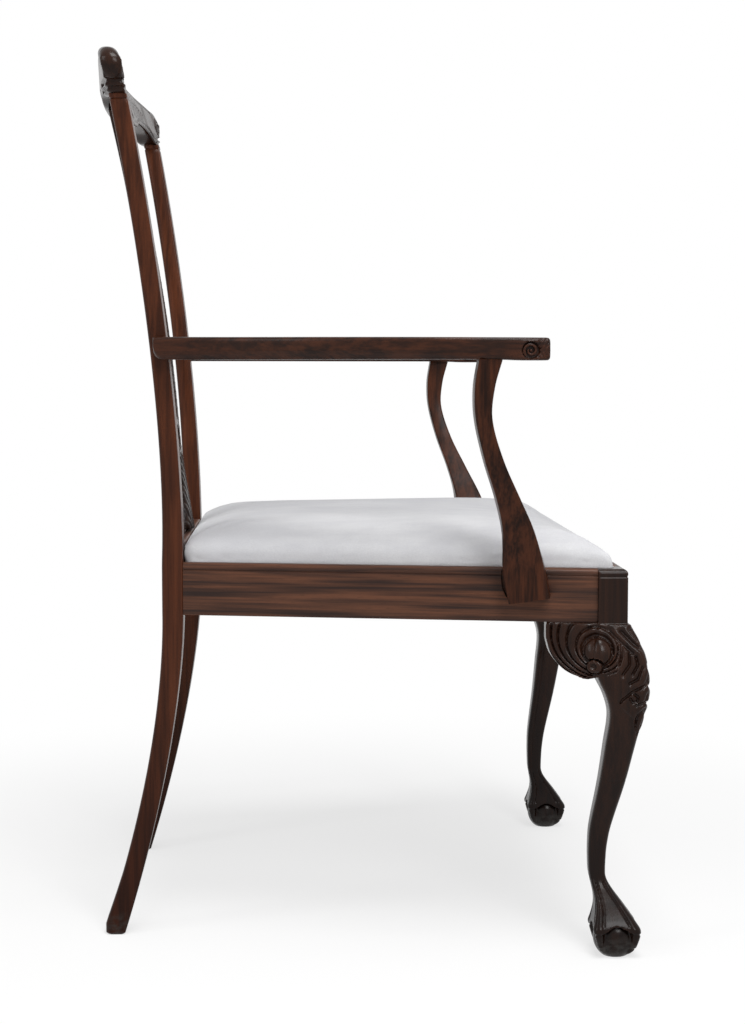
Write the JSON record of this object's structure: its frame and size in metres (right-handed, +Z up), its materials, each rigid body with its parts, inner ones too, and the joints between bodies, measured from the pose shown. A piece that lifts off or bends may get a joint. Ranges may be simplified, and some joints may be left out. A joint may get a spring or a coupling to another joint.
{
  "type": "chippendale dining chair",
  "caption": "Carved wooden open armchair with pierced splat, eared crest rail, scrolled arms, cabriole front legs on ball and claw feet and an upholstered drop-in seat that lifts out.",
  "frame": {"origin": "on the floor under the middle of the chair's box", "axes": "+Z up, the chair faces -Y, +X to the sitter's left"},
  "size_m": [0.7444, 0.6103, 0.998],
  "materials": {
    "mahogany": "waxed satin",
    "beech": "bare sawn wood",
    "velvet": "short pile",
    "webbing": "woven jute",
    "hessian": "coarse weave",
    "stuffing": "felted wadding",
    "black_cloth": "plain weave",
    "steel": "dull"
  },
  "bodies": {
    "chair_frame": {"left_back_post": "mahogany", "right_back_post": "mahogany", "left_side_rail": "mahogany", "right_side_rail": "mahogany", "left_front_leg": "mahogany", "right_front_leg": "mahogany", "left_side_knee_bracket": "mahogany", "right_side_knee_bracket": "mahogany", "left_front_knee_bracket": "mahogany", "right_front_knee_bracket": "mahogany", "left_arm": "mahogany", "right_arm": "mahogany", "left_arm_support": "mahogany", "right_arm_support": "mahogany", "left_front_corner_block": "beech", "right_front_corner_block": "beech", "left_back_corner_block": "beech", "right_back_corner_block": "beech", "left_arm_screw": "steel", "right_arm_screw": "steel", "left_support_screws": "steel", "right_support_screws": "steel", "crest_rail": "mahogany", "splat": "mahogany", "splat_shoe": "mahogany", "back_seat_rail": "mahogany", "front_seat_rail": "mahogany"},
    "drop_in_seat": {"seat_frame_front": "beech", "seat_frame_back": "beech", "left_seat_frame_side": "beech", "right_seat_frame_side": "beech", "seat_webbing_lengthways": "webbing", "seat_webbing_crossways": "webbing", "seat_hessian": "hessian", "seat_stuffing": "stuffing", "seat_cover": "velvet", "seat_bottom_cloth": "black_cloth", "seat_tacks": "steel"}
  },
  "joints": [
    {"name": "seat_lift", "type": "slide", "parent": "chair_frame", "child": "drop_in_seat", "axis": [0, 0, 1], "range_m": [0, 0.3]}
  ]
}
